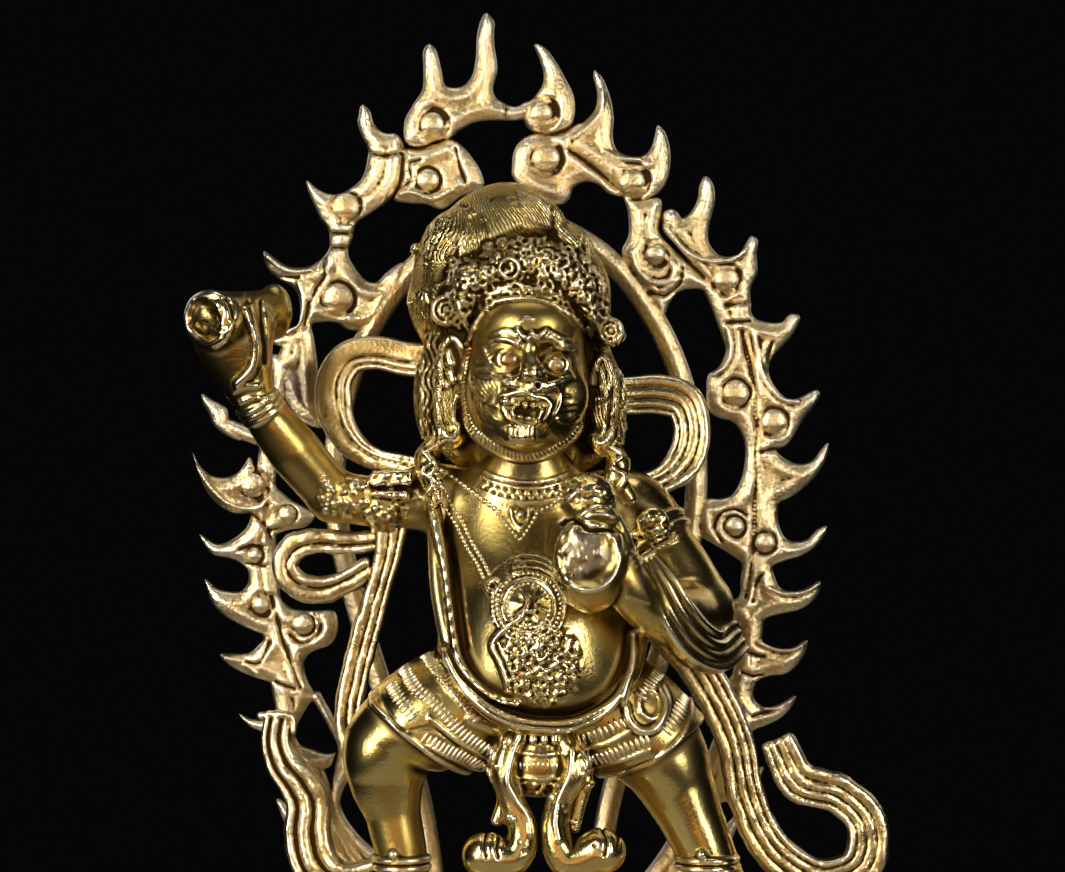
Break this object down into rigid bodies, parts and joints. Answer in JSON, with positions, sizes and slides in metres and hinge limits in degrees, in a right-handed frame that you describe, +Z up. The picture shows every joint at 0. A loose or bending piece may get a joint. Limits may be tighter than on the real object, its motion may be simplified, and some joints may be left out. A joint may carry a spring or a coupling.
{
  "type": "gilt brass protector deity statue",
  "caption": "Standing gilt brass figure of a wrathful protector, lunging before a pierced flaming aureole, on an oval lotus plinth; rests on its flat underside.",
  "frame": {"origin": "centre of the plinth's flat underside", "axes": "+Z up, the figure faces -Y, +X to the viewer's right"},
  "size_m": [0.1422, 0.061, 0.2065],
  "materials": {
    "figure": "gilt cast brass, hand rubbed bright on the forms, dark brown patina in the recesses",
    "aureole": "gilt cast brass, paler and duller than the figure, with brown recesses and worn grey spots",
    "lotus_plinth": "gilt cast brass, rubbed on the petal tips, dark between the petals"
  },
  "bodies": {
    "root": {"figure": "figure", "aureole": "aureole", "lotus_plinth": "lotus_plinth"}
  },
  "joints": []
}
